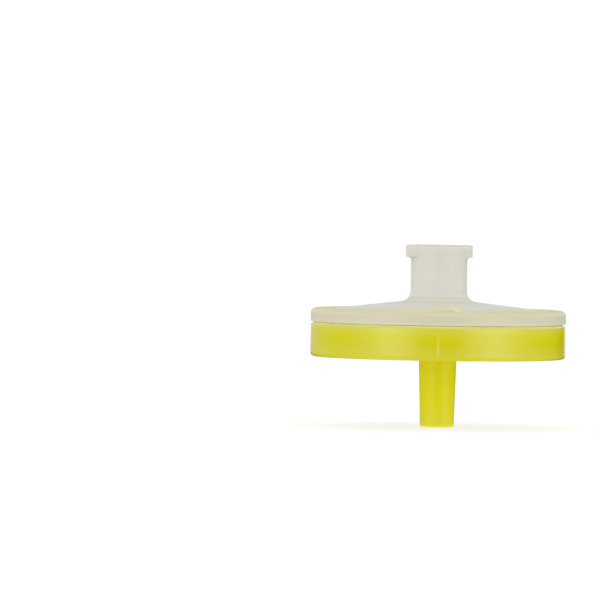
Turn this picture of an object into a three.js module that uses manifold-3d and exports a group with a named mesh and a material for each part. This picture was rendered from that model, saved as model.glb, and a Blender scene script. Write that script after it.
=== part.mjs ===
// Disc syringe filter: a white membrane clamped between two moulded polypropylene
// halves that are welded together round the rim. The natural half carries the female
// Luer lock inlet, the yellow half the male Luer slip outlet.
// Millimetres, +Z up, outlet tip down. The origin is the middle of the tip's end face.

import * as THREE from "three";
import { mergeVertices } from "three/addons/utils/BufferGeometryUtils.js";
import Module from "manifold-3d";

const wasm = await Module();
wasm.setup();

// ---------------------------------------------------------------- driving dimensions

// Luer fittings: a 6 percent taper on both sides
const LUER_TAPER = 0.06; // diameter lost on each millimetre of length
const TIP_DIAMETER = 3.95; // male cone at its end face
const TIP_BORE = 2.0; // bore of the male cone
const TIP_EDGE_RADIUS = 0.12; // round on the end's outer edge
const SOCKET_MOUTH = 4.3; // female cone at its mouth
const SOCKET_DEPTH = 6.04; // mouth to the shoulder that stops a syringe tip
const SOCKET_LEAD_IN = 0.12; // chamfer at the mouth
const THROAT_DIAMETER = 3.06; // hole from the shoulder to the chamber

// Filter membrane, a plain disc
const MEMBRANE_DIAMETER = 25.4;
const MEMBRANE_THICKNESS = 0.2;
const MEMBRANE_EDGE_CLEARANCE = 0.2; // to the wall of its seat
const CLAMP_WIDTH = 1.9; // flat ring of each half that pinches the membrane

// Rim where the halves meet
const WELD_WIDTH = 1.05; // flat ring outside the membrane, face to face
const GROOVE_DEPTH = 1.05; // open groove between the two rims
const GROOVE_OPENING = 0.4; // height of the groove at the rim
const GROOVE_LIP_RADIUS = 0.25; // round on the yellow rim's upper edge
const RIM_EDGE_RADIUS = 0.6; // round on the outer edge of each half
const RIM_DRAFT = 0.05; // the yellow rim is this much wider at its foot

// Yellow outlet half, from the tip upwards
const SPIGOT_LENGTH = 8.16; // tip to the foot of the rim
const SKIRT_DEPTH = 1.7; // hollow under the plate, inside the rim
const SKIRT_WALL = 1.3;
const PLATE_THICKNESS = 2.4; // roof of the hollow to the joint face
const SPIGOT_ROOT_RADIUS = 0.6;
const STIFFENER_COUNT = 8; // radial ribs in the hollow
const STIFFENER_THICKNESS = 0.9;
const STIFFENER_SETBACK = 0.3; // their lower edge is this far inside the rim's foot

// Membrane support: rings on the floor of the outlet chamber, cut by drain channels
const SUPPORT_HEIGHT = 0.6;
const SUPPORT_START = 2.0; // radius of the plain disc round the bore
const SUPPORT_PITCH = 1.2;
const SUPPORT_CREST = 0.35; // width of a ring at its top
const SUPPORT_ROOT = 0.6; // width of a ring at the floor
const DRAIN_WIDTH = 1.3;

// Natural inlet half, from the joint face upwards
const FLANGE_THICKNESS = 1.6;
const FLANGE_LAND = 3.1; // flat ring of the upper face, outside the cone
const CONE_ANGLE = 6.9; // degrees that the upper face climbs towards the neck
const NECK_DIAMETER = 6.64;
const NECK_ROOT_RADIUS = 1.2;
const HUB_HEIGHT = 7.54; // flat of the flange to the inlet's end face

// Luer lock lugs on the neck
const LUG_REACH = 0.61; // beyond the neck
const LUG_HEIGHT = 1.4;
const LUG_SLOPE = 0.15; // the underside rises this much from the neck outwards
const LUG_ARC = 91; // degrees round the neck
const LUG_TURN = 4.5; // degrees from +X to the middle of the first lug
const LUG_EDGE_RADIUS = 0.15;

// Flow distributor: fine rings on the roof of the inlet chamber, cut by radial channels
const CHAMBER_DEPTH = 0.45;
const RING_PITCH = 0.49;
const RING_HEIGHT = 0.3;
const RING_CREST = 0.12; // width of a ring at its lower edge
const RING_ROOT = 0.36; // width of a ring at the roof
const RING_START = 3.9; // radius of the plain disc round the throat
const CHANNEL_WIDTH = 1.5;
const CHANNEL_COUNT = 8;
const CHANNEL_TURN = 8.4; // degrees from +X to the first channel

// Gate mark on the flange: a round well with the sheared gate in its middle
const GATE_WELL_DIAMETER = 1.2;
const GATE_WELL_DEPTH = 0.18;
const GATE_NUB_DIAMETER = 0.6;
const GATE_NUB_HEIGHT = 0.12;
const GATE_INSET = 2.2; // middle of the mark to the housing's edge
const GATE_TURN = -80; // degrees from +X

// Smoothness
const ROUND_SEGMENTS = 64; // on the outside of both halves
const RING_SEGMENTS = 32; // on the fine rings inside
const SMALL_SEGMENTS = 20; // on the gate mark
const ARC_STEPS = 4; // along a rounded edge in a profile

// ------------------------------------------------------------------- derived places

const membraneRadius = MEMBRANE_DIAMETER / 2;
const seatRadius = membraneRadius + MEMBRANE_EDGE_CLEARANCE;
const chamberRadius = membraneRadius - CLAMP_WIDTH;
const grooveRadius = seatRadius + WELD_WIDTH;
const housingRadius = grooveRadius + GROOVE_DEPTH;

const rimFootZ = SPIGOT_LENGTH;
const hollowRoofZ = rimFootZ + SKIRT_DEPTH;
const jointZ = hollowRoofZ + PLATE_THICKNESS;
const seatZ = jointZ - MEMBRANE_THICKNESS;
const drainFloorZ = seatZ - SUPPORT_HEIGHT;
const chamberRoofZ = jointZ + CHAMBER_DEPTH;
const flangeTopZ = jointZ + FLANGE_THICKNESS;
const inletEndZ = flangeTopZ + HUB_HEIGHT;
const shoulderZ = inletEndZ - SOCKET_DEPTH;

const neckRadius = NECK_DIAMETER / 2;
const lugRadius = neckRadius + LUG_REACH;
const skirtInnerRadius = housingRadius - SKIRT_WALL;

const SINK = 0.1; // how far a rib or lug runs into the wall that it is moulded with

// ---------------------------------------------------------------------- small tools

const radians = THREE.MathUtils.degToRad;

// A closed surface as a solid that can be joined and cut
function solidFrom(geometry) {
  const bare = geometry.clone();
  bare.deleteAttribute("normal");
  bare.deleteAttribute("uv");
  const merged = mergeVertices(bare, 1e-5);
  return new wasm.Manifold(new wasm.Mesh({
    numProp: 3,
    vertProperties: Float32Array.from(merged.attributes.position.array),
    triVerts: Uint32Array.from(merged.index.array),
  }));
}

function geometryFrom(solid) {
  const { vertProperties, triVerts } = solid.getMesh();
  const geometry = new THREE.BufferGeometry();
  geometry.setAttribute("position", new THREE.BufferAttribute(vertProperties, 3));
  geometry.setIndex(new THREE.BufferAttribute(triVerts, 1));
  geometry.computeVertexNormals();
  return geometry;
}

// Turns a closed outline of [radius, z] points about the Z axis. The outline runs
// anticlockwise with the radius to the right and z up.
function revolve(outline, segments) {
  const points = [...outline, outline[0]].map(([radius, z]) => new THREE.Vector2(radius, z));
  return solidFrom(new THREE.LatheGeometry(points, segments).rotateX(Math.PI / 2));
}

// Points of a rounded corner in an outline, with both ends
function arc([centreRadius, centreZ], radius, fromDegrees, toDegrees, steps = ARC_STEPS) {
  return Array.from({ length: steps + 1 }, (_, step) => {
    const angle = radians(fromDegrees + ((toDegrees - fromDegrees) * step) / steps);
    return [centreRadius + radius * Math.cos(angle), centreZ + radius * Math.sin(angle)];
  });
}

// Bars that start on the axis and point outwards, evenly round it
function spokes({ count, turn, width, length, bottom, top }) {
  return Array.from({ length: count }, (_, index) => {
    const bar = new THREE.BoxGeometry(length, width, top - bottom);
    bar.translate(length / 2, 0, (bottom + top) / 2);
    bar.rotateZ(radians(turn + (360 / count) * index));
    return solidFrom(bar);
  }).reduce((joined, bar) => joined.add(bar));
}

// Concentric rings that stand on a flat face at rootZ, from one radius out to another
function rings({ innerRadius, outerRadius, pitch, rootZ, crestZ, root, crest }) {
  const sink = Math.sign(rootZ - crestZ) * SINK;
  const count = Math.floor((outerRadius - innerRadius - root) / pitch) + 1;
  return Array.from({ length: count }, (_, index) => {
    const middle = innerRadius + root / 2 + pitch * index;
    const section = [
      [middle - root / 2, rootZ],
      [middle - crest / 2, crestZ],
      [middle + crest / 2, crestZ],
      [middle + root / 2, rootZ],
      [middle + root / 2, rootZ + sink],
      [middle - root / 2, rootZ + sink],
    ];
    return revolve(crestZ < rootZ ? section : section.reverse(), RING_SEGMENTS);
  }).reduce((joined, ring) => joined.add(ring));
}

// ------------------------------------------------------------------ natural inlet half

// Upper face of the flange: flat at the rim, then a shallow cone up to the neck
const coneRise = Math.tan(radians(CONE_ANGLE));
const coneFootRadius = housingRadius - FLANGE_LAND;

// The fillet touches both the cone and the neck
function neckRoot() {
  const centreRadius = neckRadius + NECK_ROOT_RADIUS;
  const coneZ = flangeTopZ + (coneFootRadius - centreRadius) * coneRise;
  const centreZ = coneZ + NECK_ROOT_RADIUS / Math.cos(radians(CONE_ANGLE));
  return arc([centreRadius, centreZ], NECK_ROOT_RADIUS, 270 - CONE_ANGLE, 180, ARC_STEPS + 2);
}

function inletBody() {
  const mouthRadius = SOCKET_MOUTH / 2;
  const shoulderRadius = (SOCKET_MOUTH - LUER_TAPER * SOCKET_DEPTH) / 2;
  const throatRadius = THROAT_DIAMETER / 2;
  return revolve([
    [housingRadius, jointZ],
    ...arc(
      [housingRadius - RIM_EDGE_RADIUS, flangeTopZ - RIM_EDGE_RADIUS],
      RIM_EDGE_RADIUS, 0, 90,
    ),
    [coneFootRadius, flangeTopZ],
    ...neckRoot(),
    [neckRadius, inletEndZ],
    [mouthRadius + SOCKET_LEAD_IN, inletEndZ],
    [mouthRadius, inletEndZ - SOCKET_LEAD_IN],
    [shoulderRadius, shoulderZ],
    [throatRadius, shoulderZ],
    [throatRadius, chamberRoofZ],
    [chamberRadius, chamberRoofZ],
    [chamberRadius, jointZ],
  ], ROUND_SEGMENTS);
}

// Two lugs: a collar with a sloping underside, kept only inside two wedges
function lockLugs() {
  const lugBottomZ = inletEndZ - LUG_HEIGHT;
  const slopeAngle = THREE.MathUtils.radToDeg(Math.atan2(LUG_SLOPE, LUG_REACH));
  const collar = revolve([
    [neckRadius - SINK, lugBottomZ - LUG_SLOPE],
    [neckRadius, lugBottomZ - LUG_SLOPE],
    ...arc(
      [lugRadius - LUG_EDGE_RADIUS, lugBottomZ + LUG_EDGE_RADIUS],
      LUG_EDGE_RADIUS, 270 + slopeAngle, 360, 3,
    ),
    [lugRadius, inletEndZ],
    [neckRadius - SINK, inletEndZ],
  ], ROUND_SEGMENTS);
  const halfArc = radians(LUG_ARC / 2);
  const clearRadius = 2 * lugRadius;
  const wedge = new THREE.Shape()
    .lineTo(clearRadius * Math.cos(halfArc), -clearRadius * Math.sin(halfArc))
    .absarc(0, 0, clearRadius, -halfArc, halfArc);
  const wedges = [0, 180].map((side) => solidFrom(
    new THREE.ExtrudeGeometry(wedge, {
      depth: LUG_HEIGHT + LUG_SLOPE + 2 * SINK,
      bevelEnabled: false,
    })
      .translate(0, 0, lugBottomZ - LUG_SLOPE - SINK)
      .rotateZ(radians(LUG_TURN + side)),
  ));
  return collar.intersect(wedges[0].add(wedges[1]));
}

// Fine rings on the chamber's roof, with clear channels that carry liquid outwards
function distributor() {
  const fineRings = rings({
    innerRadius: RING_START,
    outerRadius: chamberRadius,
    pitch: RING_PITCH,
    rootZ: chamberRoofZ,
    crestZ: chamberRoofZ - RING_HEIGHT,
    root: RING_ROOT,
    crest: RING_CREST,
  });
  return fineRings.subtract(spokes({
    count: CHANNEL_COUNT,
    turn: CHANNEL_TURN,
    width: CHANNEL_WIDTH,
    length: chamberRadius,
    bottom: chamberRoofZ - RING_HEIGHT - SINK,
    top: chamberRoofZ + 2 * SINK,
  }));
}

// A pin on the flange's upper face at the gate, given by its lower and upper ends
function gatePin(diameter, bottom, top) {
  const pin = new THREE.CylinderGeometry(diameter / 2, diameter / 2, top - bottom, SMALL_SEGMENTS);
  pin.rotateX(Math.PI / 2).translate(housingRadius - GATE_INSET, 0, (bottom + top) / 2);
  return solidFrom(pin.rotateZ(radians(GATE_TURN)));
}

function inletHousing() {
  const wellFloorZ = flangeTopZ - GATE_WELL_DEPTH;
  return inletBody()
    .add(lockLugs())
    .add(distributor())
    .subtract(gatePin(GATE_WELL_DIAMETER, wellFloorZ, flangeTopZ + SINK))
    .add(gatePin(GATE_NUB_DIAMETER, wellFloorZ - SINK, wellFloorZ + GATE_NUB_HEIGHT));
}

// ------------------------------------------------------------------- yellow outlet half

function outletBody() {
  const coneRadius = (z) => (TIP_DIAMETER + LUER_TAPER * z) / 2;
  const boreRadius = TIP_BORE / 2;
  const rimTopRadius = housingRadius - RIM_DRAFT;
  const lipZ = jointZ - GROOVE_OPENING;
  const lipAngle = THREE.MathUtils.radToDeg(
    Math.atan2(GROOVE_OPENING, rimTopRadius - grooveRadius),
  );
  const lipBack = GROOVE_LIP_RADIUS * Math.tan(radians((90 - lipAngle) / 2));
  return revolve([
    [boreRadius, 0],
    ...arc(
      [TIP_DIAMETER / 2 - TIP_EDGE_RADIUS, TIP_EDGE_RADIUS],
      TIP_EDGE_RADIUS, 270, 360, 2,
    ),
    [coneRadius(hollowRoofZ - SPIGOT_ROOT_RADIUS), hollowRoofZ - SPIGOT_ROOT_RADIUS],
    ...arc(
      [
        coneRadius(hollowRoofZ - SPIGOT_ROOT_RADIUS) + SPIGOT_ROOT_RADIUS,
        hollowRoofZ - SPIGOT_ROOT_RADIUS,
      ],
      SPIGOT_ROOT_RADIUS, 180, 90,
    ).slice(1),
    [skirtInnerRadius, hollowRoofZ],
    [skirtInnerRadius, rimFootZ],
    ...arc(
      [housingRadius - RIM_EDGE_RADIUS, rimFootZ + RIM_EDGE_RADIUS],
      RIM_EDGE_RADIUS, 270, 360,
    ),
    ...arc(
      [rimTopRadius - GROOVE_LIP_RADIUS, lipZ - lipBack],
      GROOVE_LIP_RADIUS, 0, 90 - lipAngle, 3,
    ),
    [grooveRadius, jointZ],
    [seatRadius, jointZ],
    [seatRadius, seatZ],
    [chamberRadius, seatZ],
    [chamberRadius, drainFloorZ],
    [boreRadius, drainFloorZ],
  ], ROUND_SEGMENTS);
}

// Rings that carry the membrane, cut by channels that lead to the bore
function membraneSupport() {
  const supportRings = rings({
    innerRadius: SUPPORT_START,
    outerRadius: chamberRadius,
    pitch: SUPPORT_PITCH,
    rootZ: drainFloorZ,
    crestZ: seatZ,
    root: SUPPORT_ROOT,
    crest: SUPPORT_CREST,
  });
  return supportRings.subtract(spokes({
    count: CHANNEL_COUNT,
    turn: CHANNEL_TURN,
    width: DRAIN_WIDTH,
    length: chamberRadius,
    bottom: drainFloorZ - 2 * SINK,
    top: seatZ + SINK,
  }));
}

// Radial ribs between the spigot and the rim, cut open where the bore passes
function stiffeners() {
  const bars = spokes({
    count: STIFFENER_COUNT,
    turn: 0,
    width: STIFFENER_THICKNESS,
    length: skirtInnerRadius + SINK,
    bottom: rimFootZ + STIFFENER_SETBACK,
    top: hollowRoofZ + SINK,
  });
  const bore = new THREE.CylinderGeometry(
    TIP_DIAMETER / 2, TIP_DIAMETER / 2, 2 * jointZ, ROUND_SEGMENTS,
  );
  return bars.subtract(solidFrom(bore.rotateX(Math.PI / 2)));
}

function outletHousing() {
  return outletBody().add(membraneSupport()).add(stiffeners());
}

// --------------------------------------------------------------------------- assembly

function membrane() {
  const disc = new THREE.CylinderGeometry(
    membraneRadius, membraneRadius, MEMBRANE_THICKNESS, ROUND_SEGMENTS,
  );
  return solidFrom(disc.rotateX(Math.PI / 2).translate(0, 0, seatZ + MEMBRANE_THICKNESS / 2));
}

const naturalPolypropylene = new THREE.MeshStandardMaterial({
  color: 0xdcdacf,
  roughness: 0.35,
  metalness: 0,
  transparent: true,
  opacity: 0.9,
});
const yellowPolypropylene = new THREE.MeshStandardMaterial({
  color: 0xd6d12f,
  roughness: 0.35,
  metalness: 0,
});
const membraneWhite = new THREE.MeshStandardMaterial({
  color: 0xf6f5f0,
  roughness: 0.9,
  metalness: 0,
});

const group = new THREE.Group();

function addPart(name, solid, material) {
  const mesh = new THREE.Mesh(geometryFrom(solid), material);
  mesh.name = name;
  group.add(mesh);
}

addPart("outlet_housing", outletHousing(), yellowPolypropylene);
addPart("filter_membrane", membrane(), membraneWhite);
addPart("inlet_housing", inletHousing(), naturalPolypropylene);

export default group;
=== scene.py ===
# A disc syringe filter standing on its outlet tip: the yellow outlet half, the white
# membrane and the natural inlet half, in the order in which they are put together.
# Sizes are in millimetres and meshes in metres, +Z up along the flow axis.

import math

import bmesh
import bpy
from mathutils import Matrix, Vector


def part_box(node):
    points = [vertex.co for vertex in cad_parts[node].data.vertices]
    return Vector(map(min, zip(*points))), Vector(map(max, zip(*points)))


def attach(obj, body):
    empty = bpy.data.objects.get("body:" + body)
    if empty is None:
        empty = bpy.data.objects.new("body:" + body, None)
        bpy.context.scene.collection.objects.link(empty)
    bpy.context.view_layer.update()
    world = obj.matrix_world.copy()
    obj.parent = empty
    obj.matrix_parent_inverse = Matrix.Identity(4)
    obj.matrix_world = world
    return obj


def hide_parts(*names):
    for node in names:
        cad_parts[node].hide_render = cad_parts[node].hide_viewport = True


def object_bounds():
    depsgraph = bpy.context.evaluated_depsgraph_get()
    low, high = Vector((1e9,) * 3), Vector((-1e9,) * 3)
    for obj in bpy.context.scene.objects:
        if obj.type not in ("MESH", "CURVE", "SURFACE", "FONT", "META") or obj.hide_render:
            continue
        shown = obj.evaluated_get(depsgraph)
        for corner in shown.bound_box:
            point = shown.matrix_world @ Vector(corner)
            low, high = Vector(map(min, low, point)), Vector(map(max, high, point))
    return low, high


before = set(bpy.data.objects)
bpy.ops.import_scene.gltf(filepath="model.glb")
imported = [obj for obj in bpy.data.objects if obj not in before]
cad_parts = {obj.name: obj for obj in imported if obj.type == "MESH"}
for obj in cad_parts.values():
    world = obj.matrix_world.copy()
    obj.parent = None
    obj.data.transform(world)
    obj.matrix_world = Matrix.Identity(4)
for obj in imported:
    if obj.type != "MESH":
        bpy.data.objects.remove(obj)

cad_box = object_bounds()
MM = 0.001

# ---------------------------------------------------------------- camera
# A long lens, almost level with the part. The filter stands to the right of the
# middle, and the view leans a little to the right.

VIEW_WIDTH = 70.5  # at the part
CAMERA_DISTANCE = 1000.0
CAMERA_ELEVATION = math.radians(1.21)
CAMERA_ROLL = math.radians(0.85)
PART_TO_THE_RIGHT = 16.22  # of the view's middle
PART_BELOW = 4.23

camera = bpy.data.objects.new("camera", bpy.data.cameras.new("camera"))
bpy.context.collection.objects.link(camera)
bpy.context.scene.camera = camera
camera.data.lens = camera.data.sensor_width * CAMERA_DISTANCE / VIEW_WIDTH
camera.data.clip_start, camera.data.clip_end = 0.01, 10.0

forward = Vector((0, math.cos(CAMERA_ELEVATION), -math.sin(CAMERA_ELEVATION)))
level_up = Vector((0, math.sin(CAMERA_ELEVATION), math.cos(CAMERA_ELEVATION)))
level_right = Vector((1, 0, 0))
right = math.cos(CAMERA_ROLL) * level_right + math.sin(CAMERA_ROLL) * level_up
up = math.cos(CAMERA_ROLL) * level_up - math.sin(CAMERA_ROLL) * level_right
part_middle = (Vector(cad_box[0]) + Vector(cad_box[1])) / 2
step_back = CAMERA_DISTANCE * forward + PART_TO_THE_RIGHT * right - PART_BELOW * up
camera.matrix_world = (
    Matrix.Translation(part_middle - step_back * MM)
    @ Matrix((right, up, -forward)).transposed().to_4x4()
)

# ---------------------------------------------------------------- yellow outlet half
# The lower half, injection moulded in polypropylene tinted a clear yellow. Its rim is
# a skirt round a hollow with radial ribs, its plate carries the membrane on rings, and
# the Luer slip cone with its bore hangs from the middle.

outlet_low, outlet_high = (Vector(corner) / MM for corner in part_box("outlet_housing"))
tip_level, joint_level = outlet_low.z, outlet_high.z
housing_radius = outlet_high.x

LUER_TAPER = 0.03  # of the radius, on each millimetre of length
TIP_RADIUS = 1.975
BORE_RADIUS = 1.0
SKIRT_FOOT = tip_level + 8.16
HOLLOW_ROOF = SKIRT_FOOT + 1.7
SKIRT_INNER_RADIUS = housing_radius - 1.3
GROOVE_RADIUS = housing_radius - 0.55
LIP_RADIUS = housing_radius - 0.05
LIP_LEVEL = joint_level - 0.24
SEAT_RADIUS, SEAT_LEVEL = 12.9, joint_level - 0.2
CHAMBER_RADIUS, DRAIN_FLOOR = 10.8, SEAT_LEVEL - 0.6
CHANNEL_COUNT, CHANNEL_TURN = 8, 8.4  # degrees, the same above and below the membrane
MOULDED_EDGE = 0.08  # rounding of an edge that the mould leaves crisp
TIP_ROUND, SPIGOT_ROOT_ROUND, HOLLOW_ROUND = 0.12, 0.6, 0.3
RIM_FOOT_ROUND, LIP_ROUND = 0.48, 0.22
SINK = 0.1  # how far a rib or ring runs into the wall that it is moulded with

# The mark where the mould halves meet: a notch in the rim, just left of the middle
LINE_WIDTH, LINE_DEPTH, LINE_ASIDE = 0.26, 0.047, -0.2
LINE_ENDS = (SKIRT_FOOT - 0.5, joint_level - 1.2)
LINE_RISE = 0.1  # how far its cutter stands out of the rim, and half its width there:
LINE_SPREAD = LINE_WIDTH / 2 * (LINE_DEPTH + LINE_RISE) / LINE_DEPTH
RIM_TAPER = (housing_radius - LIP_RADIUS) / (LIP_LEVEL - SKIRT_FOOT)

STEPS = 256  # round the axis
END_STEP = 0.2  # of a step, so that a shape that runs out keeps faces at its ends
ARC_DEGREES = 10  # one step along a rounded edge
SHARP_EDGE = math.radians(16)


def soften(corners):
    """Points of an outline of [radius, height, rounding] corners, with arcs at the corners."""
    points = []
    befores, afters = corners[-1:] + corners[:-1], corners[1:] + corners[:1]
    for before, corner, after in zip(befores, corners, afters):
        here = Vector(corner[:2])
        if len(corner) < 3:
            points.append(here)
            continue
        back = (Vector(before[:2]) - here).normalized()
        on = (Vector(after[:2]) - here).normalized()
        half = back.angle(on) / 2
        centre = here + (back + on).normalized() * corner[2] / math.sin(half)
        first = here + back * corner[2] / math.tan(half) - centre
        last = here + on * corner[2] / math.tan(half) - centre
        swing = first.angle(last)
        count = max(2, math.ceil(math.degrees(swing) / ARC_DEGREES))
        for step in range(count + 1):
            there = swing * step / count
            mixed = first * math.sin(swing - there) + last * math.sin(there)
            points.append(centre + mixed / math.sin(swing))
    return points


def turned(corners, start=0.0, sweep=360.0, steps=STEPS, place=(0.0, 0.0), run_out=0.0):
    """A closed mesh: the outline turned by sweep degrees about an upright axis at place.

    Over the first and last run_out degrees it rises smoothly out of its innermost radius.
    """
    outline = soften(corners)
    inner = min(point.x for point in outline)
    whole = sweep == 360.0
    shape = bmesh.new()
    columns = []
    for step in range(steps if whole else steps + 1):
        angle = math.radians(start + sweep * step / steps)
        risen = 1.0
        if run_out:
            risen = min(1.0, (min(step, steps - step) + END_STEP) * sweep / steps / run_out)
        share = risen * risen * (3 - 2 * risen)
        columns.append([
            shape.verts.new((
                (place[0] + (inner + (point.x - inner) * share) * math.cos(angle)) * MM,
                (place[1] + (inner + (point.x - inner) * share) * math.sin(angle)) * MM,
                point.y * MM,
            ))
            for point in outline
        ])
    for one, two in zip(columns, columns[1:] + (columns[:1] if whole else [])):
        for index in range(len(outline)):
            shape.faces.new((one[index - 1], two[index - 1], two[index], one[index]))
    if not whole:
        shape.faces.new(columns[0])
        shape.faces.new(columns[-1])
    bmesh.ops.remove_doubles(shape, verts=shape.verts, dist=1e-8)
    bmesh.ops.recalc_face_normals(shape, faces=shape.faces)
    mesh = bpy.data.meshes.new("turned")
    shape.to_mesh(mesh)
    shape.free()
    return mesh


def shown(name, mesh):
    """A new object in the scene for this mesh."""
    made = bpy.data.objects.new(name, mesh)
    bpy.context.collection.objects.link(made)
    return made


def settle(piece):
    """Makes the piece plain mesh, as its modifiers leave it."""
    bpy.context.view_layer.update()
    evaluated = piece.evaluated_get(bpy.context.evaluated_depsgraph_get())
    mesh = bpy.data.meshes.new_from_object(evaluated)
    piece.modifiers.clear()
    piece.data = mesh


def combine(piece, operation, other):
    """Joins another solid to the piece, or cuts it away, and uses it up."""
    modifier = piece.modifiers.new("solid", "BOOLEAN")
    modifier.operation, modifier.solver, modifier.object = operation, "EXACT", other
    settle(piece)
    bpy.data.objects.remove(other)


def smooth(piece, material):
    """Shades the piece smooth up to its sharp edges and gives it its one material."""
    piece.data.shade_smooth()
    piece.data.set_sharp_from_angle(angle=SHARP_EDGE)
    modifier = piece.modifiers.new("even shading", "WEIGHTED_NORMAL")
    modifier.keep_sharp = True
    settle(piece)
    piece.data.materials.clear()
    piece.data.materials.append(material)


def node(tree, kind, inputs=None, **settings):
    """Adds a node. Each input, by name or number, is a value or another node's socket."""
    made = tree.nodes.new(kind)
    for name, value in settings.items():
        setattr(made, name, value)
    for key, value in (inputs or {}).items():
        if isinstance(value, bpy.types.NodeSocket):
            tree.links.new(value, made.inputs[key])
        else:
            made.inputs[key].default_value = value
    return made


def geometry_tree(name, sizes):
    """A tree that gives a mesh, with a named input for each size, and its input node."""
    tree = bpy.data.node_groups.new(name, "GeometryNodeTree")
    tree.interface.new_socket("Geometry", in_out="OUTPUT", socket_type="NodeSocketGeometry")
    tree.interface.new_socket("Geometry", in_out="INPUT", socket_type="NodeSocketGeometry")
    for size, kind in sizes.items():
        tree.interface.new_socket(size, in_out="INPUT", socket_type=f"NodeSocket{kind}")
    return tree, tree.nodes.new("NodeGroupInput").outputs


def grown(tree, values):
    """A new object with the plain mesh that the tree makes from these inputs."""
    piece = shown(tree.name, bpy.data.meshes.new(tree.name))
    modifier = piece.modifiers.new(tree.name, "NODES")
    modifier.node_group = tree
    for item in tree.interface.items_tree:
        if item.in_out == "INPUT" and item.name in values:
            modifier[item.identifier] = values[item.name]
    settle(piece)
    return piece


def linear(colour):
    """An sRGB hex colour as linear red, green and blue, with an alpha of 1."""
    parts = (int(colour[start:start + 2], 16) / 255 for start in (1, 3, 5))
    return (*(part / 12.92 if part <= 0.04045 else ((part + 0.055) / 1.055) ** 2.4
              for part in parts), 1.0)


def spread(ramp, stops, low, high):
    """Gives a colour ramp that runs from low to high a linear colour at each level."""
    while len(ramp.elements) < len(stops):
        ramp.elements.new(0.5)
    for stop, (level, colour) in zip(ramp.elements, stops.items()):
        stop.position = (level - low) / (high - low)
        stop.color = colour


# Bars that point outwards from the axis, evenly round it, with rounded long edges
spoke_tree, spoke = geometry_tree("spokes", {
    "Count": "Int", "Turn": "Float", "Inner": "Float", "Outer": "Float", "Width": "Float",
    "Bottom": "Float", "Top": "Float", "Rounding": "Float", "Material": "Material",
})
spoke_height = node(spoke_tree, "ShaderNodeMath", {0: spoke["Top"], 1: spoke["Bottom"]},
                    operation="SUBTRACT")
spoke_middle = node(spoke_tree, "ShaderNodeMath",
                    {0: spoke_height.outputs[0], 1: 0.5, 2: spoke["Bottom"]},
                    operation="MULTIPLY_ADD")
spoke_start = node(spoke_tree, "ShaderNodeCombineXYZ",
                   {"X": spoke["Inner"], "Z": spoke_middle.outputs[0]})
spoke_end = node(spoke_tree, "ShaderNodeCombineXYZ",
                 {"X": spoke["Outer"], "Z": spoke_middle.outputs[0]})
spoke_line = node(spoke_tree, "GeometryNodeCurvePrimitiveLine",
                  {"Start": spoke_start.outputs[0], "End": spoke_end.outputs[0]})
spoke_section = node(spoke_tree, "GeometryNodeCurvePrimitiveQuadrilateral",
                     {"Width": spoke["Width"], "Height": spoke_height.outputs[0]})
spoke_edges = node(spoke_tree, "GeometryNodeFilletCurve",
                   {"Curve": spoke_section.outputs[0], "Radius": spoke["Rounding"], "Count": 4},
                   mode="POLY")
spoke_bar = node(spoke_tree, "GeometryNodeCurveToMesh",
                 {"Curve": spoke_line.outputs[0], "Profile Curve": spoke_edges.outputs[0],
                  "Fill Caps": True})
spoke_places = node(spoke_tree, "GeometryNodePoints", {"Count": spoke["Count"]})
spoke_index = node(spoke_tree, "GeometryNodeInputIndex")
spoke_share = node(spoke_tree, "ShaderNodeMath", {0: math.tau, 1: spoke["Count"]},
                   operation="DIVIDE")
spoke_angle = node(spoke_tree, "ShaderNodeMath",
                   {0: spoke_index.outputs[0], 1: spoke_share.outputs[0], 2: spoke["Turn"]},
                   operation="MULTIPLY_ADD")
spoke_turn = node(spoke_tree, "ShaderNodeCombineXYZ", {"Z": spoke_angle.outputs[0]})
spoke_copies = node(spoke_tree, "GeometryNodeInstanceOnPoints",
                    {"Points": spoke_places.outputs[0], "Instance": spoke_bar.outputs[0],
                     "Rotation": spoke_turn.outputs[0]})
spoke_real = node(spoke_tree, "GeometryNodeRealizeInstances", {0: spoke_copies.outputs[0]})
spoke_dressed = node(spoke_tree, "GeometryNodeSetMaterial",
                     {"Geometry": spoke_real.outputs[0], "Material": spoke["Material"]})
node(spoke_tree, "NodeGroupOutput", {0: spoke_dressed.outputs[0]})

# Rings round the axis that hang from a level, or stand on it when turned over
ring_tree, ring = geometry_tree("rings", {
    "Count": "Int", "First Radius": "Float", "Pitch": "Float", "Root": "Float",
    "Crest": "Float", "Height": "Float", "Level": "Float", "Turned Over": "Float",
    "Material": "Material",
})
ring_places = node(ring_tree, "GeometryNodePoints", {"Count": ring["Count"]})
ring_index = node(ring_tree, "GeometryNodeInputIndex")
ring_radius = node(ring_tree, "ShaderNodeMath",
                   {0: ring_index.outputs[0], 1: ring["Pitch"], 2: ring["First Radius"]},
                   operation="MULTIPLY_ADD")
ring_size = node(ring_tree, "ShaderNodeCombineXYZ",
                 {"X": ring_radius.outputs[0], "Y": ring_radius.outputs[0], "Z": 1.0})
ring_circle = node(ring_tree, "GeometryNodeCurvePrimitiveCircle",
                   {"Resolution": STEPS // 2, "Radius": 1.0})
ring_copies = node(ring_tree, "GeometryNodeInstanceOnPoints",
                   {"Points": ring_places.outputs[0], "Instance": ring_circle.outputs[0],
                    "Scale": ring_size.outputs[0]})
ring_lines = node(ring_tree, "GeometryNodeRealizeInstances", {0: ring_copies.outputs[0]})
ring_upright = node(ring_tree, "GeometryNodeSetCurveNormal", {"Curve": ring_lines.outputs[0]},
                    mode="Z_UP")
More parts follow.
